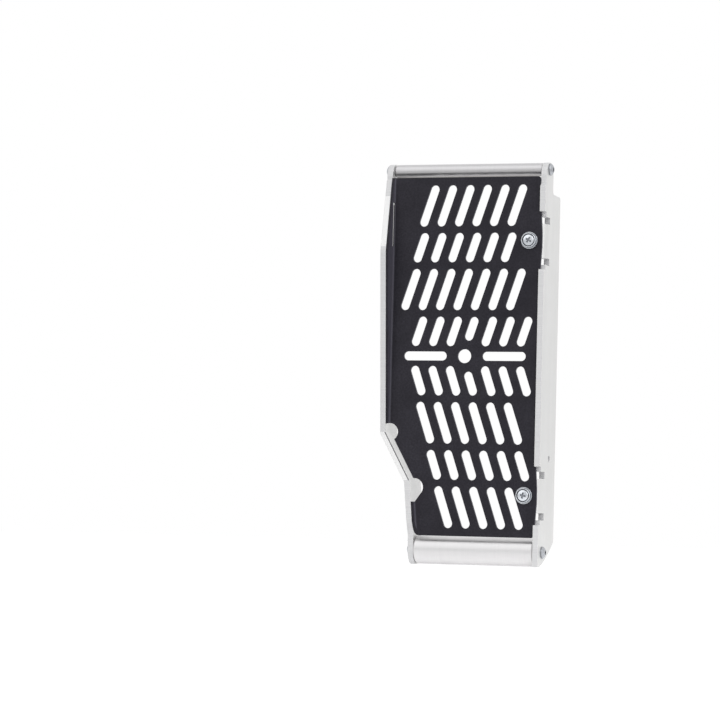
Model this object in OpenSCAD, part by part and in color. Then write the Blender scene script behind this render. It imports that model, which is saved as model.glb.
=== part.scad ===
// Radiator guard for an off-road motorcycle: a slotted screen between two side plates and two cross-bars.
// Millimetres. X runs from the inner side to the outer side, Y runs to the rear, Z is up.
// The sizes are laid out from the middle of the screen's front face and then set on the ground.

/* [Screen] */
// thickness of the screen sheet
screen_t = 2; // [1.5:0.5:3]
// half of the screen's height, from the round hole to the top or bottom edge
screen_half_h = 128.5; // [120:0.5:140]
// from the round hole to the fold beside the inner plate
fold_x = 55.2; // [50:0.1:60]
// from the round hole to the start of the fold of the narrow lower end
low_fold_x = 36.3; // [34:0.1:45]
// from the round hole to that fold at the screen's lower edge
low_end_x = 33; // [30:0.1:36]
// inside radius of the folds
fold_r = 1.5; // [1:0.1:3]
// depth of the fold at its deepest place
fold_deep = 11.5; // [8:0.5:16]
// depth of the fold along the lower end
fold_shallow = 1.5; // [1:0.1:4]
// height of the deepest place above the round hole
fold_deep_z = 76; // [60:1:90]
// radius of the relief hole where the fold line turns inwards
relief_up_r = 6.3; // [4:0.1:8]
// radius of the relief hole where the fold line turns down again
relief_low_r = 6.5; // [4:0.1:8]
// width of the thin slot along the fold that eases the bending
ease_w = 1.1; // [0.8:0.1:2]
// length of that slot
ease_l = 30; // [20:1:40]
// diameter of the small hole at the end of that slot
ease_hole_d = 2; // [1.8:0.1:4]
// how far that slot lies beside the corner of the fold
ease_x = 0.6; // [0:0.1:1]
// turn of that slot from straight through the flat sheet, in degrees
ease_turn = 34; // [20:1:50]
// rounding of the free corners
screen_corner_r = 2; // [1:0.5:5]
// rounding of the folded corner at the lower end
fold_corner_r = 4; // [1:0.5:5]
// how far the screen's ears reach into the notches of the outer plate
ear_over = 1.6; // [1.2:0.1:2.5]
// how much less they reach at their ends
ear_taper = 1; // [0:0.1:1]

/* [Slots] */
// width of every slot
slot_w = 6.5; // [5:0.1:8]
// length of a long slot
slot_long = 31; // [26:0.5:36]
// length of a short slot
slot_short = 22; // [18:0.5:26]
// length of the two slots beside the round hole
slot_mid = 17.6; // [14:0.1:22]
// how far those two slots are moved away from the round hole
slot_mid_dz = 1.9; // [0:0.1:4]
// lean of the slots from upright, in degrees
slot_lean = 18.4; // [0:0.1:30]
// distance from slot to slot in a row
slot_pitch = 13; // [10:0.1:16]
// from the round hole to the nearest row of leaning slots
row_first = 17.7; // [16:0.1:22]
// distance from row to row
row_pitch = 30.1; // [26:0.1:34]
// diameter of the round hole in the middle
centre_hole_d = 10; // [8:0.5:12]
// length of the two level slots
level_slot_l = 32; // [26:0.5:36]
// from the round hole to the middle of a level slot
level_slot_x = 29.2; // [26:0.1:32]

/* [Slot rows from the top] */
// first slot of row one
row_1_x = -28.6; // [-45:0.1:0]
// slots in row one
row_1_n = 6; // [1:1:7]
// first slot of row two
row_2_x = -34.3; // [-45:0.1:0]
// slots in row two
row_2_n = 6; // [1:1:6]
// first slot of row three
row_3_x = -41.3; // [-45:0.1:0]
// slots in row three
row_3_n = 7; // [1:1:7]
// first slot of row four
row_4_x = -34.2; // [-45:0.1:0]
// slots in row four
row_4_n = 7; // [1:1:7]
// first slot of row five
row_5_x = -34.2; // [-45:0.1:0]
// slots in row five
row_5_n = 7; // [1:1:7]
// first slot of row six
row_6_x = -28.3; // [-45:0.1:0]
// slots in row six
row_6_n = 6; // [1:1:7]
// first slot of row seven
row_7_x = -21.1; // [-45:0.1:0]
// slots in row seven
row_7_n = 6; // [1:1:6]
// first slot of row eight
row_8_x = -13.4; // [-45:0.1:0]
// slots in row eight
row_8_n = 5; // [1:1:5]

/* [Side plates] */
// thickness of both side plates
plate_t = 4; // [3:0.5:6]
// from the round hole to the inner face of the outer plate
outer_face_x = 53.7; // [50:0.1:60]
// how far the outer plate stands in front of the screen
plate_front = 2; // [1:0.5:4]
// depth of the outer plate behind the screen's front face
outer_rear = 40.5; // [34:0.5:48]
// depth of the inner plate behind the screen's front face
inner_rear = 26.5; // [22:0.5:34]
// height of the plates' upper shoulder
shoulder_z = 117.5; // [110:0.5:122]
// start of the slanting run of the inner plate, below the round hole
slant_top_z = 55; // [45:0.5:65]
// end of the slanting run of the inner plate, below the round hole
slant_low_z = 89.5; // [80:0.5:100]
// how far the lugs reach above the top bar
lug_over = 0.3; // [0.1:0.1:3]
// how far the feet reach below the bottom bar
foot_under = 0.4; // [0.2:0.1:3]
// from the top of a lug down to the step of its front edge
lug_step = 17; // [14:0.5:20]
// radius of the rounded lugs
lug_r = 9.4; // [8:0.1:12]
// distance of the lugs' middle behind the screen's front face
lug_y = 9.9; // [8:0.1:14]
// rounding of the plates' rear corners
plate_corner_r = 2; // [1:0.5:6]
// radius of the hollow corner between a lug and the shoulder
lug_fillet_r = 3; // [1:0.5:6]
// radius of the long curve under the outer plate
sweep_r = 117; // [90:1:150]
// how far behind the screen's front face that curve is aimed from
sweep_at_y = 9; // [6:0.5:14]
// height of the same place above the feet
sweep_at_z = 2.1; // [1:0.1:4]
// how steep the curve is there, in degrees
sweep_turn = 18.3; // [12:0.1:24]
// height above the feet up to which the curve shapes the plate
sweep_rise = 21; // [18:0.5:26]
// diameter of the small hole in the outer plate
plate_hole_d = 4.5; // [3:0.1:6]
// distance of that hole behind the screen's front face
plate_hole_y = 23.5; // [18:0.5:30]
// height of that hole, below the round hole
plate_hole_z = 71.7; // [60:0.1:80]

/* [Tabs] */
// half height of the notch in the outer plate's front edge
notch_half = 20.7; // [18:0.1:26]
// half height of the tab that is turned in behind the screen
tab_half = 12.2; // [9:0.1:16]
// height of the relief cut above and below a tab
tab_relief = 5; // [3:0.1:6]
// inside radius of the tab's bend
tab_bend_r = 4; // [2:0.5:6]
// radius of the tab's rounded end
tab_end_r = 7.2; // [6:0.1:9]

/* [Fasteners] */
// from the round hole across to the two screen bolts
bolt_x = 46.3; // [42:0.1:50]
// height of the upper screen bolt above the round hole
bolt_up_z = 82.6; // [75:0.1:90]
// depth of the lower screen bolt below the round hole
bolt_low_z = 98.6; // [90:0.1:106]
// thread size of the screen bolts
bolt_d = 6; // [5:1:8]
// head diameter of the screen bolts
bolt_head_d = 10.5; // [9:0.1:14]
// head height of the screen bolts
bolt_head_h = 3.3; // [2.5:0.1:4.5]
// socket size of the screen bolts
bolt_socket = 4; // [3:0.5:5]
// washer diameter
washer_d = 12; // [10:0.5:16]
// washer thickness
washer_t = 1.6; // [1:0.1:2]
// thread size of the cross-bar bolts
pin_d = 5; // [4:1:6]
// head diameter of the cross-bar bolts
pin_head_d = 8.5; // [8:0.1:9.5]
// head height of the cross-bar bolts
pin_head_h = 3; // [2.2:0.1:3.3]
// socket size of the cross-bar bolts
pin_socket = 3; // [2.5:0.5:4]
// thread length of the cross-bar bolts past the plate
pin_reach = 12; // [8:1:20]
// how much deeper the tapped bores of the bars are
bore_spare = 3; // [1:0.5:6]
// collar diameter of the press-in nuts
nut_d = 11; // [9:0.5:12]
// collar height of the press-in nuts
nut_h = 3; // [2:0.5:5]
// shank diameter of the press-in nuts
nut_shank_d = 8; // [7:0.1:9]

/* [Cross-bars] */
// diameter of the top bar
bar_top_d = 9.5; // [8:0.1:14]
// diameter of the bottom bar
bar_low_d = 20; // [14:0.5:24]
// bevel at the ends of the bars
bar_bevel = 1.2; // [0.5:0.1:1.5]
// gap in height between the screen's upper edge and the top bar
top_bar_gap = 1; // [0.5:0.1:4]
// gap in height between the screen's lower edge and the bottom bar
low_bar_gap = 0.1; // [0.1:0.1:4]
// distance of both bars behind the screen's front face
bar_y = 9.2; // [8.5:0.1:12]

/* [Fits] */
// gap at each side between a screw and its hole
hole_gap = 0.25; // [0.1:0.05:0.5]
// gap between the screen's edge and the outer plate
edge_gap = 0.2; // [0.1:0.1:0.5]
// gap at each side between a thread and its tapped bore
thread_gap = 0.05; // [0.02:0.01:0.1]
// width of the slit between the screen's slanting edge and the inner plate
slit_w = 3; // [1:0.1:4]
// gap between the lower fold and the inner plate
fold_gap = 0.1; // [0.05:0.05:0.3]

/* [Hidden] */
$fn = 72;
// whole thing is moved so that it is centred over the ground and stands on it
inner_face_x = -(fold_x + screen_t);
low_lean = atan((low_fold_x - low_end_x) / (screen_half_h - slant_low_z));
low_skin = (screen_t + fold_gap) / cos(low_lean);
inner_low_x = -(low_fold_x + low_skin);
inner_end_x = -(low_end_x + low_skin);
mid_x = (outer_face_x + inner_face_x) / 2;
mid_y = (outer_rear - fold_deep) / 2;
outer_out_x = outer_face_x + plate_t;
bar_top_z = screen_half_h + top_bar_gap + bar_top_d / 2;
bar_low_z = screen_half_h + low_bar_gap + bar_low_d / 2;
lug_top_z = bar_top_z + bar_top_d / 2 + lug_over;
foot_z = bar_low_z + bar_low_d / 2 + foot_under;
slant = atan((inner_low_x - inner_face_x) / (slant_low_z - slant_top_z));
tab_front = screen_t;
tab_bend_out = tab_bend_r + plate_t;
tab_bend_x = outer_out_x - tab_bend_out;
tab_bend_y = tab_front + tab_bend_out;
relief_y = tab_bend_y + 2.5;
ear_x = outer_face_x + ear_over;
sweep_y = sweep_at_y - sweep_r * sin(sweep_turn);
sweep_z = -(foot_z - sweep_at_z) + sweep_r * cos(sweep_turn);
lug_top_c = lug_top_z - lug_r;
foot_c = foot_z - lug_r;

// step from the inner face to the outer face of the inner plate where runs with leans a and b meet
function corner_step(a, b) = [-cos((a + b) / 2), -sin((a + b) / 2)] * plate_t / cos((a - b) / 2);

// from the layout's middle to the finished place
module place()
{
    translate([-mid_x, -mid_y, foot_z])
        children();
}

// turns a flat drawing in X and Z into a sheet that starts at y0 and grows to the rear
module sheet_xz(y0, t)
{
    translate([0, y0 + t, 0])
        rotate([90, 0, 0])
            linear_extrude(height = t)
                children();
}

// turns a flat drawing in Y and Z into a sheet that starts at x0 and grows outwards
module sheet_yz(x0, t)
{
    translate([x0, 0, 0])
        rotate([90, 0, 90])
            linear_extrude(height = t)
                children();
}

// one slot with round ends, drawn upright
module slot_2d(l)
{
    square([slot_w, l - slot_w], center = true);
    translate([0, (l - slot_w) / 2])
        circle(d = slot_w);
    translate([0, -(l - slot_w) / 2])
        circle(d = slot_w);
}

// a row of leaning slots; skip leaves one slot out
module row_2d(x, z, n, l, lean, skip)
{
    for (i = [0 : n - 1])
        if (i != skip)
            translate([x + i * slot_pitch, z])
                rotate(-lean)
                    slot_2d(l);
}

// every opening of the screen
module openings_2d()
{
    circle(d = centre_hole_d);
    translate([level_slot_x, 0])
        rotate(90)
            slot_2d(level_slot_l);
    translate([-level_slot_x, 0])
        rotate(90)
            slot_2d(level_slot_l);
    row_2d(row_1_x, row_first + 3 * row_pitch, row_1_n, slot_long, slot_lean, -1);
    row_2d(row_2_x, row_first + 2 * row_pitch, row_2_n, slot_short, slot_lean, -1);
    row_2d(row_3_x, row_first + row_pitch, row_3_n, slot_long, slot_lean, -1);
    row_2d(row_4_x, row_first, row_4_n, slot_short, slot_lean, 3);
    row_2d(row_5_x, -row_first, row_5_n, slot_short, -slot_lean, 3);
    row_2d(row_6_x, -row_first - row_pitch, row_6_n, slot_long, -slot_lean, -1);
    row_2d(row_7_x, -row_first - 2 * row_pitch, row_7_n, slot_short, -slot_lean, -1);
    row_2d(row_8_x, -row_first - 3 * row_pitch, row_8_n, slot_long, -slot_lean, -1);
    translate([row_4_x + 3 * slot_pitch, row_first + slot_mid_dz])
        rotate(-slot_lean)
            slot_2d(slot_mid);
    translate([row_5_x + 3 * slot_pitch, -row_first - slot_mid_dz])
        rotate(slot_lean)
            slot_2d(slot_mid);
    translate([bolt_x, bolt_up_z])
        circle(d = bolt_d + 2 * hole_gap);
    translate([bolt_x, -bolt_low_z])
        circle(d = bolt_d + 2 * hole_gap);
}

// flat part of the screen, from the folds to the outer edge, with the two ears
module flat_2d()
{
    right = outer_face_x - edge_gap;
    r = screen_corner_r;
    left = -fold_x + fold_r;
    low_left = -low_fold_x + fold_r + 0.2;
    end_left = -low_end_x + fold_r + 0.2;
    gap = slit_w / cos(slant);
    polygon([[left, screen_half_h], [right - r, screen_half_h], [right, screen_half_h - r],
             [right, -screen_half_h + r], [right - r, -screen_half_h], [end_left, -screen_half_h],
             [low_left, -slant_top_z - (low_left - inner_face_x - gap) / tan(slant)],
             [left, -slant_top_z - (left - inner_face_x - gap) / tan(slant)]]);
    translate([right - r, screen_half_h - r])
        circle(r = r);
    translate([right - r, -screen_half_h + r])
        circle(r = r);
    h = notch_half - edge_gap;
    for (z = [bolt_up_z, -bolt_low_z])
        translate([0, z])
            polygon([[right - 3, -h], [ear_x - ear_taper, -h], [ear_x, -h / 4], [ear_x, h / 4],
                     [ear_x - ear_taper, h], [right - 3, h]]);
}

// section of a fold, seen from above, with its corner at the place where the two front faces would meet
module fold_2d(deep)
{
    difference()
    {
        translate([-screen_t, -deep])
            square([screen_t + fold_r, deep + screen_t]);
        translate([0, -deep - 1])
            square([fold_r + 1, deep + 1 - fold_r]);
        translate([fold_r, -fold_r])
            circle(r = fold_r);
        difference()
        {
            translate([-screen_t - 1, -fold_r])
                square([screen_t + 1 + fold_r, screen_t + 1 + fold_r]);
            translate([fold_r, -fold_r])
                circle(r = fold_r + screen_t);
        }
    }
    translate([fold_r - 0.05, 0])
        square([0.5, screen_t]);
}

// side view of the upper fold: everything behind its slanting front edge
module fold_side_2d()
{
    polygon([[-0.5, screen_half_h], [-fold_deep, fold_deep_z], [-fold_deep, fold_deep_z - 4],
             [-fold_shallow, -slant_top_z + 1], [-fold_shallow, -slant_top_z - 10],
             [screen_t + 1, -slant_top_z - 10], [screen_t + 1, screen_half_h]]);
}

// side view of the lower fold
module low_fold_side_2d()
{
    polygon([[-fold_shallow, -slant_low_z], [-fold_shallow, -screen_half_h + 10], [1, -screen_half_h],
             [screen_t + 1, -screen_half_h], [screen_t + 1, -slant_low_z]]);
}

// the two relief holes where the fold line turns
module reliefs_2d()
{
    translate([-fold_x + 0.6, -slant_top_z + 0.2])
        circle(r = relief_up_r);
    translate([-low_fold_x + 1.2, -slant_low_z - 4.7])
        circle(r = relief_low_r);
    polygon([[-low_fold_x - 3, -slant_low_z - 4], [-low_fold_x + 7, -slant_low_z - 7.6],
             [-low_fold_x + 1.8, -slant_low_z - 15], [-low_fold_x - 3, -slant_low_z - 15]]);
}

// what the rounded corner takes off the lower end of the fold
module fold_corner_2d()
{
    x = -low_end_x - screen_t / cos(low_lean);
    r = fold_corner_r;
    translate([x, -screen_half_h])
        difference()
        {
            translate([-1, -1])
                square([r + 1, r + 1]);
            translate([r, r])
                circle(r = r);
        }
}

// black slotted sheet with its folded edge
module screen()
{
    color([0.19, 0.18, 0.2])
    place()
    difference()
    {
        union()
        {
            sheet_xz(0, screen_t)
                difference()
                {
                    flat_2d();
                    openings_2d();
                }
            intersection()
            {
                translate([-fold_x, 0, -slant_top_z])
                    linear_extrude(height = screen_half_h + slant_top_z)
                        fold_2d(fold_deep + 1);
                sheet_yz(-fold_x - screen_t - 1, screen_t + fold_r + 2)
                    fold_side_2d();
            }
            intersection()
            {
                translate([-low_fold_x, 0, -slant_low_z])
                    rotate([0, -low_lean, 0])
                        translate([0, 0, slant_low_z - screen_half_h - 2])
                            linear_extrude(height = screen_half_h - slant_low_z + 2)
                                fold_2d(fold_deep + 1);
                sheet_yz(-low_fold_x - screen_t - 1, low_fold_x - low_end_x + screen_t + fold_r + 2)
                    low_fold_side_2d();
            }
        }
        sheet_xz(-fold_deep - 2, fold_deep + screen_t + 4)
        {
            reliefs_2d();
            fold_corner_2d();
        }
        translate([-fold_x - ease_x, 0, fold_deep_z + 3])
            rotate([0, 0, ease_turn])
                translate([-ease_w / 2, -5, 0])
                    cube([ease_w, 10, ease_l]);
        translate([-fold_x - ease_x, 0, fold_deep_z + 3 + ease_l + ease_hole_d / 2 - 0.3])
            rotate([90, 0, ease_turn])
                cylinder(d = ease_hole_d, h = 10, center = true);
    }
}

// block w by h from the origin with its upper rear corner rounded
module corner_block_2d(w, h)
{
    r = plate_corner_r;
    square([w, h - r]);
    square([w - r, h]);
    translate([w - r, h - r])
        circle(r = r);
}

// side view of a lug above the shoulder, with the hollow corner behind it
module upper_lug_2d()
{
    f = lug_fillet_r;
    translate([lug_y - lug_r, shoulder_z - 1])
        square([2 * lug_r, lug_top_c - shoulder_z + 1]);
    translate([lug_y, lug_top_c])
        circle(r = lug_r);
    translate([lug_y + lug_r - 0.5, shoulder_z - 0.5])
        difference()
        {
            square([f + 0.5, f + 0.5]);
            translate([f + 0.5, f + 0.5])
                circle(r = f);
        }
}

// side view of the outer plate without its tabs
module outer_outline_2d()
{
    difference()
    {
        union()
        {
            translate([-plate_front, -foot_z + sweep_rise])
                corner_block_2d(outer_rear + plate_front, shoulder_z + foot_z - sweep_rise);
            intersection()
            {
                translate([-plate_front, -foot_z])
                    square([outer_rear + plate_front, sweep_rise + 1]);
                translate([sweep_y, sweep_z])
                    circle(r = sweep_r, $fn = 360);
            }
            polygon([[-plate_front, shoulder_z - 1], [-plate_front, lug_top_z - lug_step - 0.9],
                     [lug_y - lug_r, lug_top_z - lug_step + 0.9], [lug_y, lug_top_z - lug_step + 0.9],
                     [lug_y, shoulder_z - 1]]);
            upper_lug_2d();
        }
        for (z = [bolt_up_z, -bolt_low_z])
            tab_notch_2d(z);
        translate([plate_hole_y, -plate_hole_z])
            circle(d = plate_hole_d);
        translate([bar_y, bar_top_z])
            circle(d = pin_d + 2 * hole_gap);
        translate([bar_y, -bar_low_z])
            circle(d = pin_d + 2 * hole_gap);
    }
}

// what a tab takes out of the front edge: the notch, the two relief cuts and the bend itself
module tab_notch_2d(z)
{
    translate([-plate_front - 1, z - notch_half])
        square([plate_front + 1 + screen_t + edge_gap, 2 * notch_half]);
    translate([-plate_front - 1, z - tab_half - tab_relief])
        square([plate_front + 1 + relief_y, 2 * (tab_half + tab_relief)]);
}

// one tab without its holes: bend and rounded end, seen from the front
module tab_body(z)
{
    translate([0, 0, z - tab_half])
        linear_extrude(height = 2 * tab_half)
        {
            intersection()
            {
                translate([tab_bend_x, tab_front])
                    square([tab_bend_out, tab_bend_out]);
                difference()
                {
                    translate([tab_bend_x, tab_bend_y])
                        circle(r = tab_bend_out);
                    translate([tab_bend_x, tab_bend_y])
                        circle(r = tab_bend_r);
                }
            }
            translate([outer_face_x, tab_bend_y - 0.01])
                square([plate_t, relief_y - tab_bend_y + 0.02]);
        }
    sheet_xz(tab_front, plate_t)
    {
        polygon([[tab_bend_x + 0.01, z - tab_half], [tab_bend_x + 0.01, z + tab_half],
                 [bolt_x - 1.3, z + tab_end_r - 0.12], [bolt_x - 1.3, z - tab_end_r + 0.12]]);
        translate([bolt_x, z])
            circle(r = tab_end_r);
    }
}

// one tab with the hole for its nut and the seat for the nut's collar
module tab(z)
{
    difference()
    {
        tab_body(z);
        translate([bolt_x, tab_front - 1, z])
            rotate([-90, 0, 0])
                cylinder(d = nut_shank_d, h = plate_t + 2);
        translate([bolt_x, tab_front + plate_t, z])
            rotate([-90, 0, 0])
                cylinder(d = nut_d + 2 * edge_gap, h = nut_h + 1);
    }
}

// bare outer plate with its two tabs
module outer_side_plate()
{
    color([0.87, 0.87, 0.86])
    place()
    union()
    {
        sheet_yz(outer_face_x, plate_t)
            outer_outline_2d();
        tab(bolt_up_z);
        tab(-bolt_low_z);
    }
}

// front view of the inner plate: upright, slanting, leaning and upright runs, all of one thickness
module inner_runs_2d()
{
    a = [inner_face_x, -slant_top_z];
    b = [inner_low_x, -slant_low_z];
    c = [inner_end_x, -screen_half_h];
    polygon([[inner_face_x, lug_top_z + 1], a, b, c, [inner_end_x, -foot_z - 1],
             [inner_end_x - plate_t, -foot_z - 1], c + corner_step(low_lean, 0),
             b + corner_step(slant, low_lean), a + corner_step(0, slant),
             [inner_face_x - plate_t, lug_top_z + 1]]);
}

// side view of the inner plate
module inner_side_2d()
{
    difference()
    {
        union()
        {
            polygon([[-0.5, screen_half_h - 1.5], [-fold_deep, fold_deep_z], [-fold_deep, fold_deep_z - 4],
                     [-fold_shallow, -slant_top_z + 1], [-fold_shallow, -shoulder_z],
                     [lug_y - lug_r, -shoulder_z - 12], [lug_y, -shoulder_z - 12], [lug_y, -shoulder_z],
                     [lug_y, screen_half_h - 1.5]]);
            corner_block_2d(inner_rear, shoulder_z);
            mirror([0, 1])
                corner_block_2d(inner_rear, shoulder_z);
            upper_lug_2d();
            translate([lug_y - lug_r, -foot_c])
                square([2 * lug_r, foot_c - shoulder_z + 1]);
            translate([lug_y, -foot_c])
                circle(r = lug_r);
        }
        translate([bar_y, bar_top_z])
            circle(d = pin_d + 2 * hole_gap);
        translate([bar_y, -bar_low_z])
            circle(d = pin_d + 2 * hole_gap);
    }
}

// bare inner plate with two bends
module inner_side_plate()
{
    color([0.86, 0.86, 0.85])
    place()
    intersection()
    {
        sheet_xz(-fold_deep - 1, fold_deep + inner_rear + 2)
            inner_runs_2d();
        sheet_yz(inner_face_x - plate_t - 1, inner_end_x - inner_face_x + plate_t + 2)
            inner_side_2d();
    }
}

// round bar between x0 and x1 with bevelled ends and a tapped bore at each end
module crossbar(x0, x1, z, d)
{
    b = bar_bevel;
    translate([x0, bar_y, z])
        rotate([0, 90, 0])
            difference()
            {
                union()
                {
                    cylinder(d1 = d - 2 * b, d2 = d, h = b);
                    translate([0, 0, b])
                        cylinder(d = d, h = x1 - x0 - 2 * b);
                    translate([0, 0, x1 - x0 - b])
                        cylinder(d1 = d, d2 = d - 2 * b, h = b);
                }
                translate([0, 0, -1])
                    cylinder(d = pin_d + 2 * thread_gap, h = pin_reach + bore_spare + 1);
                translate([0, 0, x1 - x0 - pin_reach - bore_spare])
                    cylinder(d = pin_d + 2 * thread_gap, h = pin_reach + bore_spare + 1);
            }
}

// bar across the top
module top_crossbar()
{
    color([0.84, 0.84, 0.83])
    place()
        crossbar(inner_face_x, outer_face_x, bar_top_z, bar_top_d);
}

// bar across the bottom
module bottom_crossbar()
{
    color([0.84, 0.84, 0.83])
    place()
        crossbar(inner_end_x, outer_face_x, -bar_low_z, bar_low_d);
}

// button-head screw that points along +Z, with the underside of its head at zero
module button_screw(d, head_d, head_h, socket, l)
{
    dome_r = (pow(head_d / 2, 2) - pow(head_d * 0.2, 2) + pow(head_h - 0.6, 2)) / (2 * (head_h - 0.6)) + 1.2;
    difference()
    {
        union()
        {
            cylinder(d = d, h = l);
            intersection()
            {
                translate([0, 0, -head_h])
                    cylinder(d = head_d, h = head_h);
                translate([0, 0, -head_h + dome_r])
                    sphere(r = dome_r);
            }
        }
        translate([0, 0, -head_h - 1])
            rotate(30)
                cylinder(d = socket / cos(30), h = head_h * 0.55 + 1, $fn = 6);
    }
}

// screw of the screen at height z
module screen_screw(z)
{
    color([0.78, 0.8, 0.83])
    place()
        translate([bolt_x, -washer_t, z])
            rotate([-90, 0, 0])
                button_screw(bolt_d, bolt_head_d, bolt_head_h, bolt_socket,
                             washer_t + screen_t + plate_t + nut_h);
}

// upper screw of the screen
module screen_bolt_upper()
{
    screen_screw(bolt_up_z);
}

// lower screw of the screen
module screen_bolt_lower()
{
    screen_screw(-bolt_low_z);
}

// washer between a screw head and the screen
module washer(z)
{
    color([0.8, 0.82, 0.85])
    place()
        translate([bolt_x, -washer_t, z])
            rotate([-90, 0, 0])
                difference()
                {
                    cylinder(d = washer_d, h = washer_t);
                    translate([0, 0, -1])
                        cylinder(d = bolt_d + hole_gap, h = washer_t + 2);
                }
}

// washer of the upper screw
module screen_washer_upper()
{
    washer(bolt_up_z);
}

// washer of the lower screw
module screen_washer_lower()
{
    washer(-bolt_low_z);
}

// press-in nut behind a tab: shank in the tab, collar on its back
module tab_nut(z)
{
    color([0.75, 0.77, 0.8])
    place()
        translate([bolt_x, tab_front, z])
            rotate([-90, 0, 0])
                difference()
                {
                    union()
                    {
                        cylinder(d = nut_shank_d, h = plate_t);
                        translate([0, 0, plate_t])
                            cylinder(d = nut_d, h = nut_h);
                    }
                    translate([0, 0, -1])
                        cylinder(d = bolt_d + 2 * thread_gap, h = plate_t + nut_h + 2);
                }
}

// nut of the upper tab
module tab_nut_upper()
{
    tab_nut(bolt_up_z);
}

// nut of the lower tab
module tab_nut_lower()
{
    tab_nut(-bolt_low_z);
}

// screw of a bar: x is the face it bears on, way is 1 for a head on the outer side and -1 for the inner side
module bar_screw(x, z, way)
{
    color([0.78, 0.8, 0.83])
    place()
        translate([x, bar_y, z])
            rotate([0, -90 * way, 0])
                button_screw(pin_d, pin_head_d, pin_head_h, pin_socket, plate_t + pin_reach);
}

// screw at the outer end of the top bar
module bar_bolt_top_outer()
{
    bar_screw(outer_out_x, bar_top_z, 1);
}

// screw at the inner end of the top bar
module bar_bolt_top_inner()
{
    bar_screw(inner_face_x - plate_t, bar_top_z, -1);
}

// screw at the outer end of the bottom bar
module bar_bolt_bottom_outer()
{
    bar_screw(outer_out_x, -bar_low_z, 1);
}

// screw at the inner end of the bottom bar
module bar_bolt_bottom_inner()
{
    bar_screw(inner_end_x - plate_t, -bar_low_z, -1);
}

screen();
outer_side_plate();
inner_side_plate();
top_crossbar();
bottom_crossbar();
screen_bolt_upper();
screen_bolt_lower();
screen_washer_upper();
screen_washer_lower();
tab_nut_upper();
tab_nut_lower();
bar_bolt_top_outer();
bar_bolt_top_inner();
bar_bolt_bottom_outer();
bar_bolt_bottom_inner();
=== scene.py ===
from math import cos, hypot, pi, radians, sin

import bmesh
import bpy
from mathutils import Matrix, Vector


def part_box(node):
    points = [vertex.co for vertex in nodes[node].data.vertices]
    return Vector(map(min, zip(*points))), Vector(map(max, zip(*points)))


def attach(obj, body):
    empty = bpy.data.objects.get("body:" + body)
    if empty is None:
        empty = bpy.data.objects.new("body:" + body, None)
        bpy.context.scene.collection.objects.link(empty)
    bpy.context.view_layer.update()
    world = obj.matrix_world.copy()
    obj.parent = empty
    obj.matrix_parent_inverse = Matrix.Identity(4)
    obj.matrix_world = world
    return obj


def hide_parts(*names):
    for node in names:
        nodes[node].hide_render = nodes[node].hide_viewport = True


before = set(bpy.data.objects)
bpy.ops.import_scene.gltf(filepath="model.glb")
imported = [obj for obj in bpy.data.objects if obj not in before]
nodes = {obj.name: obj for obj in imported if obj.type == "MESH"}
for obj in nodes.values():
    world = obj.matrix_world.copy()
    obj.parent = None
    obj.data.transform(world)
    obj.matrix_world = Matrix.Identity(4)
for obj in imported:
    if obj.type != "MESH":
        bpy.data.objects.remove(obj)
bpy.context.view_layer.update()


# Screen: 2 mm aluminium sheet, its slots cut by laser and its inner edge folded forwards in a press.
# It is coated all over with baked polyester powder, satin black. Its fold carries painted light and its edges
# a painted highlight.
# Two screws hold it to the tabs of the outer side plate.
def linear(colour):
    """Turns an sRGB hex colour into the linear one that a shader takes."""
    parts = [int(colour[i:i + 2], 16) / 255 for i in (1, 3, 5)]
    return [p / 12.92 if p <= 0.04045 else ((p + 0.055) / 1.055) ** 2.4 for p in parts] + [1.0]


def add(material, kind, inputs=None, **settings):
    """Adds a node to a material or world; an input is a plain value or another node's output.

    A Mix node has its sockets by number. Inputs: 0 the share of the second, 6 and 7 the two colours, 2 and 3
    the two values. Outputs: 2 the colour, 0 the value.
    """
    made = material.node_tree.nodes.new(kind)
    for name, value in settings.items():
        setattr(made, name, value)
    for name, value in (inputs or {}).items():
        if isinstance(value, bpy.types.NodeSocket):
            material.node_tree.links.new(value, made.inputs[name])
        else:
            made.inputs[name].default_value = value
    return made


# Polyester powder coat: a dielectric film with a soft sheen and the faint orange peel of baked powder.
tone_patch = 0.025
# orange peel: the real dimples are near 0.5 mm across, drawn wider so that they show
peel_dimple = 0.0013
edge_round = 0.0005
powder_coat = bpy.data.materials.new("satin_black_powder_coat")
powder_coat.use_nodes = True
surface = powder_coat.node_tree.nodes["Principled BSDF"]
where = add(powder_coat, "ShaderNodeTexCoord")
place = where.outputs["Object"]
tone = add(powder_coat, "ShaderNodeTexNoise",
           {"Vector": place, "Scale": 1 / tone_patch, "Detail": 3.0, "Roughness": 0.55})
peel = add(powder_coat, "ShaderNodeTexNoise",
           {"Vector": place, "Scale": 1 / peel_dimple, "Detail": 2.0, "Roughness": 0.5})
mottle = add(powder_coat, "ShaderNodeMath", {0: tone.outputs["Fac"], 1: peel.outputs["Fac"]},
             operation="MULTIPLY")
film = add(powder_coat, "ShaderNodeMix",
           {0: mottle.outputs[0], 6: linear("#15131b"), 7: linear("#45434c")}, data_type="RGBA")
# fold: painted light, a little lighter on the side that faces the slots, where the fold is lit
facing = add(powder_coat, "ShaderNodeSeparateXYZ", {0: where.outputs["Normal"]})
lit_side_mask = add(powder_coat, "ShaderNodeMapRange",
             {"Value": facing.outputs["X"], "From Min": 0.1, "From Max": 0.7})
painted_lit_fold = add(powder_coat, "ShaderNodeMix",
            {0: lit_side_mask.outputs["Result"], 6: film.outputs[2], 7: linear("#4d4b55")}, data_type="RGBA")
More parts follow.
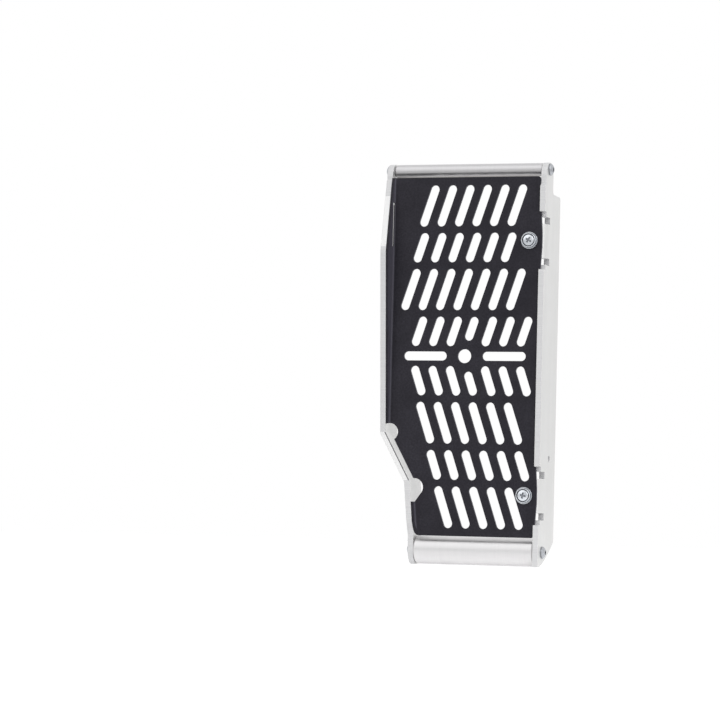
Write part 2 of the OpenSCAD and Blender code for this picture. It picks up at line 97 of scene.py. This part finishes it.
# edges: painted highlight, lighter where the rounded normal turns away from the true one
rounded = add(powder_coat, "ShaderNodeBevel", {"Radius": edge_round}, samples=6)
true_normal = add(powder_coat, "ShaderNodeNewGeometry").outputs["Normal"]
agree = add(powder_coat, "ShaderNodeVectorMath", {0: rounded.outputs["Normal"], 1: true_normal},
            operation="DOT_PRODUCT")
edge_highlight_mask = add(powder_coat, "ShaderNodeMapRange",
           {"Value": agree.outputs["Value"], "From Min": 0.99, "From Max": 0.8})
painted_edge_highlight = add(powder_coat, "ShaderNodeMix",
            {0: edge_highlight_mask.outputs["Result"], 6: painted_lit_fold.outputs[2], 7: linear("#3b3941")}, data_type="RGBA")
sheen = add(powder_coat, "ShaderNodeMapRange",
            {"Value": tone.outputs["Fac"], "From Min": 0.3, "From Max": 0.7, "To Min": 0.4, "To Max": 0.5})
dimples = add(powder_coat, "ShaderNodeBump",
              {"Strength": 0.4, "Distance": 0.0001, "Height": peel.outputs["Fac"],
               "Normal": rounded.outputs["Normal"]})
surface.inputs["Specular IOR Level"].default_value = 0.22
powder_coat.node_tree.links.new(painted_edge_highlight.outputs[2], surface.inputs["Base Color"])
powder_coat.node_tree.links.new(sheen.outputs["Result"], surface.inputs["Roughness"])
powder_coat.node_tree.links.new(dimples.outputs["Normal"], surface.inputs["Normal"])
nodes["screen"].data.materials.clear()
nodes["screen"].data.materials.append(powder_coat)


# Side plates: 4 mm aluminium sheet, cut by laser, bent and left bare. The outer one has two tabs turned in
# behind the screen, and the inner one has two bends. Screws through their lugs hold them to the cross-bars.

# Mill finish: a metal with a soft, broken sheen, streaked up the plates by the rolls. Its cut edges are a
# little greyer and duller, with fine marks straight through the sheet.
# rolling grain: its real lines are near 0.1 mm apart, drawn wider so that they show
grain_apart, grain_long = 0.0007, 0.06
band_wide, band_long = 0.007, 0.15
cloud_patch = 0.018
# drag lines of the laser: the real ones are near 0.2 mm apart, drawn wider so that they show
drag_apart, drag_long = 0.0006, 0.03
edge_round = 0.0004
sheet = bpy.data.materials.new("mill_finish_aluminium_sheet")
sheet.use_nodes = True
surface = sheet.node_tree.nodes["Principled BSDF"]
where = add(sheet, "ShaderNodeTexCoord")
place = where.outputs["Object"]
facing = add(sheet, "ShaderNodeSeparateXYZ", {0: where.outputs["Normal"]})
sideways = add(sheet, "ShaderNodeMath", {0: facing.outputs["X"]}, operation="ABSOLUTE")
face = add(sheet, "ShaderNodeMapRange", {"Value": sideways.outputs[0], "From Min": 0.45, "From Max": 0.7})
# faces: rolling grain on broad bands of the mill, with clouds from handling
along = add(sheet, "ShaderNodeMapping",
            {"Vector": place, "Scale": (1 / grain_apart, 1 / grain_apart, 1 / grain_long)})
grain = add(sheet, "ShaderNodeTexNoise",
            {"Vector": along.outputs[0], "Scale": 1.0, "Detail": 4.0, "Roughness": 0.6})
wide = add(sheet, "ShaderNodeMapping",
           {"Vector": place, "Scale": (1 / band_wide, 1 / band_wide, 1 / band_long)})
bands = add(sheet, "ShaderNodeTexNoise",
            {"Vector": wide.outputs[0], "Scale": 1.0, "Detail": 2.0, "Roughness": 0.5})
clouds = add(sheet, "ShaderNodeTexNoise",
             {"Vector": place, "Scale": 1 / cloud_patch, "Detail": 4.0, "Roughness": 0.6})
banded = add(sheet, "ShaderNodeMix",
             {0: bands.outputs["Fac"], 6: linear("#d9d9d9"), 7: linear("#e9e8e6")}, data_type="RGBA")
fine = add(sheet, "ShaderNodeMix", {0: 0.35, 6: banded.outputs[2], 7: grain.outputs["Color"]},
           data_type="RGBA", blend_type="SOFT_LIGHT")
grained = add(sheet, "ShaderNodeHueSaturation", {"Saturation": 0.25, "Color": fine.outputs[2]})
clouded = add(sheet, "ShaderNodeMix",
              {0: clouds.outputs["Fac"], 6: grained.outputs[0], 7: linear("#e2e2e1")}, data_type="RGBA")
# cut edges: drag lines straight through the sheet
through = add(sheet, "ShaderNodeMapping",
              {"Vector": place, "Scale": (1 / drag_long, 1 / drag_apart, 1 / drag_apart)})
drag = add(sheet, "ShaderNodeTexNoise",
           {"Vector": through.outputs[0], "Scale": 1.0, "Detail": 3.0, "Roughness": 0.6})
cut = add(sheet, "ShaderNodeMix",
          {0: drag.outputs["Fac"], 6: linear("#d2d2d4"), 7: linear("#e8e8e8")}, data_type="RGBA")
# inner plate: painted highlight, near-white on the cut edges of its top run and of its leaning run
top_mid, top_half = 0.2455, 0.0185
leaning_mid, leaning_half = 0.0768, 0.0172
at = add(sheet, "ShaderNodeSeparateXYZ", {0: place})
inner = add(sheet, "ShaderNodeMapRange", {"Value": at.outputs["X"], "From Min": 0.0, "From Max": -0.02})
leaning = add(sheet, "ShaderNodeMath", {0: at.outputs["Z"], 1: leaning_mid, 2: leaning_half},
              operation="COMPARE")
top_run = add(sheet, "ShaderNodeMath", {0: at.outputs["Z"], 1: top_mid, 2: top_half}, operation="COMPARE")
runs = add(sheet, "ShaderNodeMath", {0: leaning.outputs[0], 1: top_run.outputs[0]}, operation="ADD")
run_highlight_mask = add(sheet, "ShaderNodeMath", {0: runs.outputs[0], 1: inner.outputs["Result"]},
             operation="MULTIPLY")
painted_run_highlight = add(sheet, "ShaderNodeMix",
              {0: run_highlight_mask.outputs[0], 6: cut.outputs[2], 7: linear("#f1f1f1")}, data_type="RGBA")
shade = add(sheet, "ShaderNodeMix",
            {0: face.outputs["Result"], 6: painted_run_highlight.outputs[2], 7: clouded.outputs[2]}, data_type="RGBA")
# corners: painted highlight, lighter where the rounded normal turns away from the true one
rounded = add(sheet, "ShaderNodeBevel", {"Radius": edge_round}, samples=6)
true_normal = add(sheet, "ShaderNodeNewGeometry").outputs["Normal"]
agree = add(sheet, "ShaderNodeVectorMath", {0: rounded.outputs["Normal"], 1: true_normal},
            operation="DOT_PRODUCT")
edge_highlight_mask = add(sheet, "ShaderNodeMapRange",
           {"Value": agree.outputs["Value"], "From Min": 0.99, "From Max": 0.8})
painted_corner_highlight = add(sheet, "ShaderNodeMix",
             {0: edge_highlight_mask.outputs["Result"], 6: shade.outputs[2], 7: linear("#efefee")}, data_type="RGBA")
# leaning run: painted shade, a dark line along the front corner beside the screen's slit, where lean * Z + X
# comes to line_at and Y is less than line_back
lean = 0.54464
line_at, line_half = -0.004754, 0.0004
line_back = -0.0155
past = add(sheet, "ShaderNodeMath", {0: at.outputs["Z"], 1: lean, 2: at.outputs["X"]},
           operation="MULTIPLY_ADD")
shade_line_band = add(sheet, "ShaderNodeMath", {0: past.outputs[0], 1: line_at, 2: line_half}, operation="COMPARE")
front = add(sheet, "ShaderNodeMath", {0: at.outputs["Y"], 1: line_back}, operation="LESS_THAN")
front_run = add(sheet, "ShaderNodeMath", {0: leaning.outputs[0], 1: front.outputs[0]},
                operation="MULTIPLY")
painted_shade_line = add(sheet, "ShaderNodeMath", {0: shade_line_band.outputs[0], 1: front_run.outputs[0]},
           operation="MULTIPLY")
with_painted_shade_line = add(sheet, "ShaderNodeMix",
            {0: painted_shade_line.outputs[0], 6: painted_corner_highlight.outputs[2], 7: linear("#6e6d70")}, data_type="RGBA")
matt = add(sheet, "ShaderNodeMapRange",
           {"Value": clouds.outputs["Fac"], "From Min": 0.3, "From Max": 0.7, "To Min": 0.36, "To Max": 0.48})
coarse = add(sheet, "ShaderNodeMix", {0: face.outputs["Result"], 2: 0.75, 3: matt.outputs["Result"]})
marks = add(sheet, "ShaderNodeMix",
            {0: face.outputs["Result"], 2: drag.outputs["Fac"], 3: grain.outputs["Fac"]})
relief = add(sheet, "ShaderNodeBump",
             {"Strength": 0.3, "Distance": 0.00005, "Height": marks.outputs[0],
              "Normal": rounded.outputs["Normal"]})
surface.inputs["Metallic"].default_value = 0.8
sheet.node_tree.links.new(with_painted_shade_line.outputs[2], surface.inputs["Base Color"])
sheet.node_tree.links.new(coarse.outputs[0], surface.inputs["Roughness"])
sheet.node_tree.links.new(relief.outputs["Normal"], surface.inputs["Normal"])
for name in ("outer_side_plate", "inner_side_plate"):
    nodes[name].data.materials.clear()
    nodes[name].data.materials.append(sheet)


# Cross-bars: drawn aluminium rod, 9.5 mm across at the top and 20 mm at the bottom, faced, bevelled and
# tapped at both ends in the lathe. They butt against the side plates and are screwed through them.

# Turned aluminium: a metal with a satin sheen that is drawn out along the bar by the rings of the tool.
# feed marks: the real ones are near 0.15 mm apart, drawn wider so that they show
ring_apart, ring_long = 0.0008, 0.02
stain_patch = 0.015
edge_round = 0.0003
# a height between the two bars, to tell them apart
between_bars = 0.2
rod = bpy.data.materials.new("turned_aluminium_rod")
rod.use_nodes = True
surface = rod.node_tree.nodes["Principled BSDF"]
where = add(rod, "ShaderNodeTexCoord")
place = where.outputs["Object"]
feed = add(rod, "ShaderNodeMapping",
           {"Vector": place, "Scale": (1 / ring_apart, 1 / ring_long, 1 / ring_long)})
rings = add(rod, "ShaderNodeTexNoise",
            {"Vector": feed.outputs[0], "Scale": 1.0, "Detail": 3.0, "Roughness": 0.6})
stains = add(rod, "ShaderNodeTexNoise",
             {"Vector": place, "Scale": 1 / stain_patch, "Detail": 3.0, "Roughness": 0.6})
ringed = add(rod, "ShaderNodeMix",
             {0: rings.outputs["Fac"], 6: linear("#d2d1d2"), 7: linear("#e4e3e3")}, data_type="RGBA")
stained = add(rod, "ShaderNodeMix",
              {0: stains.outputs["Fac"], 6: ringed.outputs[2], 7: linear("#dddcdd")}, data_type="RGBA")
# top bar: painted shade, its colour a little darker all round than the bottom one's, to dim its highlight
at = add(rod, "ShaderNodeSeparateXYZ", {0: place})
high_up = add(rod, "ShaderNodeMath", {0: at.outputs["Z"], 1: between_bars}, operation="GREATER_THAN")
top_bar_shade = add(rod, "ShaderNodeMix",
           {0: high_up.outputs[0], 6: linear("#ffffff"), 7: linear("#f0f0f1")}, data_type="RGBA")
shaded_top_bar = add(rod, "ShaderNodeMix", {0: 1.0, 6: stained.outputs[2], 7: top_bar_shade.outputs[2]},
                 data_type="RGBA", blend_type="MULTIPLY")
# its underside: painted shade, grey on the top bar's downward faces, between the bar and the screen
facing = add(rod, "ShaderNodeSeparateXYZ", {0: where.outputs["Normal"]})
downward_mask = add(rod, "ShaderNodeMapRange", {"Value": facing.outputs["Z"], "From Min": -0.8, "From Max": -0.96})
underside_shade_mask = add(rod, "ShaderNodeMath", {0: downward_mask.outputs["Result"], 1: high_up.outputs[0]},
             operation="MULTIPLY")
painted_underside_shade = add(rod, "ShaderNodeMix",
             {0: underside_shade_mask.outputs[0], 6: shaded_top_bar.outputs[2], 7: linear("#8e8b89")}, data_type="RGBA")
sheen = add(rod, "ShaderNodeMapRange",
            {"Value": stains.outputs["Fac"], "From Min": 0.3, "From Max": 0.7,
             "To Min": 0.36, "To Max": 0.46})
rounded = add(rod, "ShaderNodeBevel", {"Radius": edge_round}, samples=6)
relief = add(rod, "ShaderNodeBump",
             {"Strength": 0.25, "Distance": 0.00003, "Height": rings.outputs["Fac"],
              "Normal": rounded.outputs["Normal"]})
surface.inputs["Metallic"].default_value = 1.0
rod.node_tree.links.new(painted_underside_shade.outputs[2], surface.inputs["Base Color"])
rod.node_tree.links.new(sheen.outputs["Result"], surface.inputs["Roughness"])
rod.node_tree.links.new(relief.outputs["Normal"], surface.inputs["Normal"])
for name in ("top_crossbar", "bottom_crossbar"):
    nodes[name].data.materials.clear()
    nodes[name].data.materials.append(rod)


# Bar screws, washers and press-in nuts: cold-headed or pressed steel, plated with zinc and passivated. The
# screws go through the lugs into the bars, and the nuts are pressed into the tabs.

# Passivated zinc: a smooth bright metal with a blue-grey cast, a trace of yellow, and small pits and scuffs.
# That of the bar screws is greyer and duller.
cast_patch = 0.003
pit = 0.0006
edge_round = 0.0003
# painted shade: sockets and corners are darkened where less room than this is open
shade_room = 0.002
for title, deep, pale, smooth, pieces in (
        ("greyer_zinc_on_steel", "#a3a7ae", "#c6c7ca", 0.28,
         ("bar_bolt_top_outer", "bar_bolt_top_inner", "bar_bolt_bottom_outer", "bar_bolt_bottom_inner")),
        ("passivated_zinc_on_steel", "#cdd4de", "#eff0f1", 0.2,
         ("screen_washer_upper", "screen_washer_lower", "tab_nut_upper", "tab_nut_lower"))):
    zinc = bpy.data.materials.new(title)
    zinc.use_nodes = True
    surface = zinc.node_tree.nodes["Principled BSDF"]
    place = add(zinc, "ShaderNodeTexCoord").outputs["Object"]
    cast = add(zinc, "ShaderNodeTexNoise",
               {"Vector": place, "Scale": 1 / cast_patch, "Detail": 3.0, "Roughness": 0.6})
    pits = add(zinc, "ShaderNodeTexNoise",
               {"Vector": place, "Scale": 1 / pit, "Detail": 3.0, "Roughness": 0.6})
    plated = add(zinc, "ShaderNodeMix",
                 {0: cast.outputs["Fac"], 6: linear(deep), 7: linear(pale)}, data_type="RGBA")
    open_for_shade = add(zinc, "ShaderNodeAmbientOcclusion", {"Distance": shade_room}, samples=8)
    shade_mask = add(zinc, "ShaderNodeMapRange",
                  {"Value": open_for_shade.outputs["AO"], "From Min": 0.8, "From Max": 0.4,
                   "To Min": 0.0, "To Max": 0.9})
    # painted shade: dark grey where the ambient occlusion finds the room shut in
    painted_corner_shade = add(zinc, "ShaderNodeMix",
                 {0: shade_mask.outputs["Result"], 6: plated.outputs[2], 7: linear("#484b52")},
                 data_type="RGBA")
    sheen = add(zinc, "ShaderNodeMapRange",
                {"Value": pits.outputs["Fac"], "From Min": 0.3, "From Max": 0.7,
                 "To Min": smooth, "To Max": smooth + 0.14})
    rounded = add(zinc, "ShaderNodeBevel", {"Radius": edge_round}, samples=6)
    relief = add(zinc, "ShaderNodeBump",
                 {"Strength": 0.2, "Distance": 0.00004, "Height": pits.outputs["Fac"],
                  "Normal": rounded.outputs["Normal"]})
    surface.inputs["Metallic"].default_value = 1.0
    zinc.node_tree.links.new(painted_corner_shade.outputs[2], surface.inputs["Base Color"])
    zinc.node_tree.links.new(sheen.outputs["Result"], surface.inputs["Roughness"])
    zinc.node_tree.links.new(relief.outputs["Normal"], surface.inputs["Normal"])
    for name in pieces:
        nodes[name].data.materials.clear()
        nodes[name].data.materials.append(zinc)


# Screws of the screen: M6, steel, cold-headed with a low rim, a groove and a domed middle with a cross
# recess; the thread is rolled. They go through washer, screen and tab into the press-in nuts. Their plating
# is that of the washers, except in the groove and the recess, which carry painted shade.

# Zinc with painted shade: the same plating, painted a darker mottled grey for the groove and the recess.
shade_mottle_patch = 0.0008
recess_shade_zinc = bpy.data.materials.new("zinc_with_painted_recess_shade")
recess_shade_zinc.use_nodes = True
surface = recess_shade_zinc.node_tree.nodes["Principled BSDF"]
place = add(recess_shade_zinc, "ShaderNodeTexCoord").outputs["Object"]
shade_mottle = add(recess_shade_zinc, "ShaderNodeTexNoise",
           {"Vector": place, "Scale": 1 / shade_mottle_patch, "Detail": 3.0, "Roughness": 0.6})
painted_recess_shade = add(recess_shade_zinc, "ShaderNodeMix",
            {0: shade_mottle.outputs["Fac"], 6: linear("#7a7d84"), 7: linear("#adb0b6")}, data_type="RGBA")
grit = add(recess_shade_zinc, "ShaderNodeBump",
           {"Strength": 0.3, "Distance": 0.00004, "Height": shade_mottle.outputs["Fac"]})
surface.inputs["Metallic"].default_value = 1.0
surface.inputs["Roughness"].default_value = 0.55
recess_shade_zinc.node_tree.links.new(painted_recess_shade.outputs[2], surface.inputs["Base Color"])
recess_shade_zinc.node_tree.links.new(grit.outputs["Normal"], surface.inputs["Normal"])

# outline of the head: radius and distance behind its front
dome_r, dome_drop, dome_steps = 0.0038, 0.0007, 38
groove = [(0.00398, 0.0009), (0.00406, 0.0013), (0.0041, 0.0019), (0.0044, 0.002), (0.00452, 0.0013)]
groove_in, groove_out, groove_deep = 0.004, 0.00456, 0.0022
rim = [(0.00458, 0.0007), (0.00468, 0.00045), (0.00488, 0.0004), (0.00506, 0.0005), (0.0052, 0.0008)]
head_r, flank_top = 0.00525, 0.0012
seat_bevel, seat_in = 0.0003, 0.0001
# recess: radius that holds it, depth, half width and length of an arm, and how far its walls slope
recess_r, recess_deep = 0.0025, 0.0009
arm_half, arm_wall = 0.00062, 0.0002
arm_long, arm_slope = 0.0024, 0.0007
# shank: plain through the washer, then a thread of 1 mm pitch
shank_r, root_r, end_r = 0.003, 0.00265, 0.0025
plain, pitch, end_bevel = 0.0016, 0.001, 0.0012
steps_round = 96
# each screw, and by how many degrees it came to rest turned
for name, turned in (("upper", 31), ("lower", 12)):
    node = "screen_bolt_" + name
    low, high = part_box(node)
    mid_x = (low[0] + high[0]) / 2
    mid_z = (low[2] + high[2]) / 2
    head_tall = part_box("screen_washer_" + name)[0][1] - low[1]
    length = high[1] - low[1]
    dome = [(dome_r * i / dome_steps, dome_drop * (i / dome_steps) ** 2) for i in range(dome_steps + 1)]
    flank = [(head_r, flank_top), (head_r, head_tall - seat_bevel), (head_r - seat_in, head_tall)]
    shank = [(shank_r, head_tall)]
    thread = head_tall + plain
    while thread < length - end_bevel:
        shank += [(shank_r, thread), (root_r, thread + pitch / 2)]
        thread += pitch
    outline = dome + groove + rim + flank + shank + [(end_r, length), (0.0, length)]

    built = bmesh.new()
    points = [built.verts.new((mid_x + radius, low[1] + drop, mid_z)) for radius, drop in outline]
    lines = [built.edges.new(pair) for pair in zip(points, points[1:])]
    bmesh.ops.spin(built, geom=points + lines, cent=(mid_x, 0, mid_z), axis=(0, 1, 0), angle=2 * pi,
                   steps=steps_round, use_merge=True)
    bmesh.ops.remove_doubles(built, verts=built.verts, dist=0.000001)
    for point in built.verts:
        if point.co.y < low[1] + head_tall / 2:
            off_x = point.co.x - mid_x
            off_z = point.co.z - mid_z
            arms = [radians(turned), radians(turned + 90)]
            off = [abs(off_x * cos(arm) - off_z * sin(arm)) for arm in arms]
            beside = max(0.0, min(1.0, (arm_half - min(off)) / arm_wall))
            within = max(0.0, min(1.0, (arm_long - max(off)) / arm_slope))
            point.co.y += recess_deep * beside * within
    bmesh.ops.recalc_face_normals(built, faces=built.faces)
    for facet in built.faces:
        middle = facet.calc_center_median()
        out = hypot(middle.x - mid_x, middle.z - mid_z)
        under = middle.y - low[1]
        in_recess = out < recess_r and under > dome_drop
        in_groove = groove_in < out < groove_out and under < groove_deep
        facet.smooth = True
        # groove and recess faces take the zinc with painted shade
        facet.material_index = int(in_recess or in_groove)
    mesh = bpy.data.meshes.new("screen_screw_" + name)
    built.to_mesh(mesh)
    built.free()
    mesh.set_sharp_from_angle(angle=radians(40))
    mesh.materials.append(zinc)
    mesh.materials.append(recess_shade_zinc)
    piece = bpy.data.objects.new("screen_screw_" + name, mesh)
    bpy.context.collection.objects.link(piece)
    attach(piece, "root")
    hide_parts(node)


# Floor: a matt white table top that runs out to the horizon and takes the object's soft shadow. What the
# lamps leave it short of pure white is added where it is looked at. In the metal that is done only for the
# round part under and behind the object, so the plates and bars mirror a greyer table in front of them.
floor_size = 12
lift = 0.53
lifted_middle = (0.0, 0.7, 0.0)
lifted_to, lift_ends = 0.8, 1.15
bpy.ops.mesh.primitive_plane_add(size=floor_size, location=(0, 0, 0))
floor = bpy.context.object
floor.name = "floor"
table_top = bpy.data.materials.new("white_table_top")
table_top.use_nodes = True
surface = table_top.node_tree.nodes["Principled BSDF"]
surface.inputs["Base Color"].default_value = linear("#e6e6e6")
surface.inputs["Roughness"].default_value = 0.9
surface.inputs["Specular IOR Level"].default_value = 0.0
seen = add(table_top, "ShaderNodeLightPath")
place = add(table_top, "ShaderNodeTexCoord").outputs["Object"]
away = add(table_top, "ShaderNodeVectorMath", {0: place, 1: lifted_middle}, operation="DISTANCE")
near = add(table_top, "ShaderNodeMapRange",
           {"Value": away.outputs["Value"], "From Min": lifted_to, "From Max": lift_ends,
            "To Min": 1.0, "To Max": 0.0})
in_metal = add(table_top, "ShaderNodeMath", {0: seen.outputs["Is Glossy Ray"], 1: near.outputs["Result"]},
               operation="MULTIPLY")
by_eye = add(table_top, "ShaderNodeMath", {0: seen.outputs["Is Camera Ray"], 1: in_metal.outputs[0]},
             operation="MAXIMUM")
any_view = add(table_top, "ShaderNodeMath", {0: by_eye.outputs[0], 1: seen.outputs["Is Transmission Ray"]},
               operation="MAXIMUM")
added = add(table_top, "ShaderNodeMath", {0: any_view.outputs[0], 1: lift}, operation="MULTIPLY")
surface.inputs["Emission Color"].default_value = linear("#ffffff")
table_top.node_tree.links.new(added.outputs[0], surface.inputs["Emission Strength"])
floor.data.materials.append(table_top)


# Studio: a white surround for the eye. It lights the object evenly and more weakly, and the metal sees it
# white behind the object and greyer in front. Two large soft boxes stand in front, left and right.
behind, in_front, even_light = 1.0, 0.68, 0.6
world = bpy.data.worlds.new("studio")
bpy.context.scene.world = world
world.use_nodes = True
background = world.node_tree.nodes["Background"]
seen = add(world, "ShaderNodeLightPath")
by_eye = add(world, "ShaderNodeMath",
             {0: seen.outputs["Is Camera Ray"], 1: seen.outputs["Is Transmission Ray"]}, operation="MAXIMUM")
around = add(world, "ShaderNodeSeparateXYZ", {0: add(world, "ShaderNodeTexCoord").outputs["Generated"]})
mirrored = add(world, "ShaderNodeMapRange",
               {"Value": around.outputs["Y"], "From Min": -1.0, "From Max": 0.6,
                "To Min": in_front, "To Max": behind})
ambient = add(world, "ShaderNodeMix",
              {0: seen.outputs["Is Glossy Ray"], 2: even_light, 3: mirrored.outputs["Result"]})
level = add(world, "ShaderNodeMix", {0: by_eye.outputs[0], 2: ambient.outputs[0], 3: 1.0})
background.inputs["Color"].default_value = linear("#ffffff")
world.node_tree.links.new(level.outputs[0], background.inputs["Strength"])
# each box: place, turn in degrees, side in metres and power in watts
for name, stand, aim, size, power in (("soft_box_left", (-1.3, -1.7, 1.9), (50, 0, -38), 3.0, 16),
                                      ("soft_box_right", (1.7, -1.5, 1.4), (60, 0, 49), 2.2, 24)):
    lamp = bpy.data.lights.new(name, "AREA")
    lamp.size = size
    lamp.energy = power
    soft_box = bpy.data.objects.new(name, lamp)
    soft_box.location = stand
    soft_box.rotation_euler = [radians(turn) for turn in aim]
    bpy.context.collection.objects.link(soft_box)


# Camera: about 2.2 m away, just above the table, a little to the outer side and looking slightly up. Its
# place and turn were worked out from the object's own corners as the photograph shows them.
lens = bpy.data.cameras.new("camera")
lens.lens = 150
lens.sensor_width = 36
camera = bpy.data.objects.new("camera", lens)
camera.location = (0.59846763, -2.06852636, 0.02166629)
camera.rotation_euler = (1.62812917, -0.02532853, 0.31607855)
bpy.context.collection.objects.link(camera)
bpy.context.scene.camera = camera
bpy.context.scene.view_settings.view_transform = "Standard"
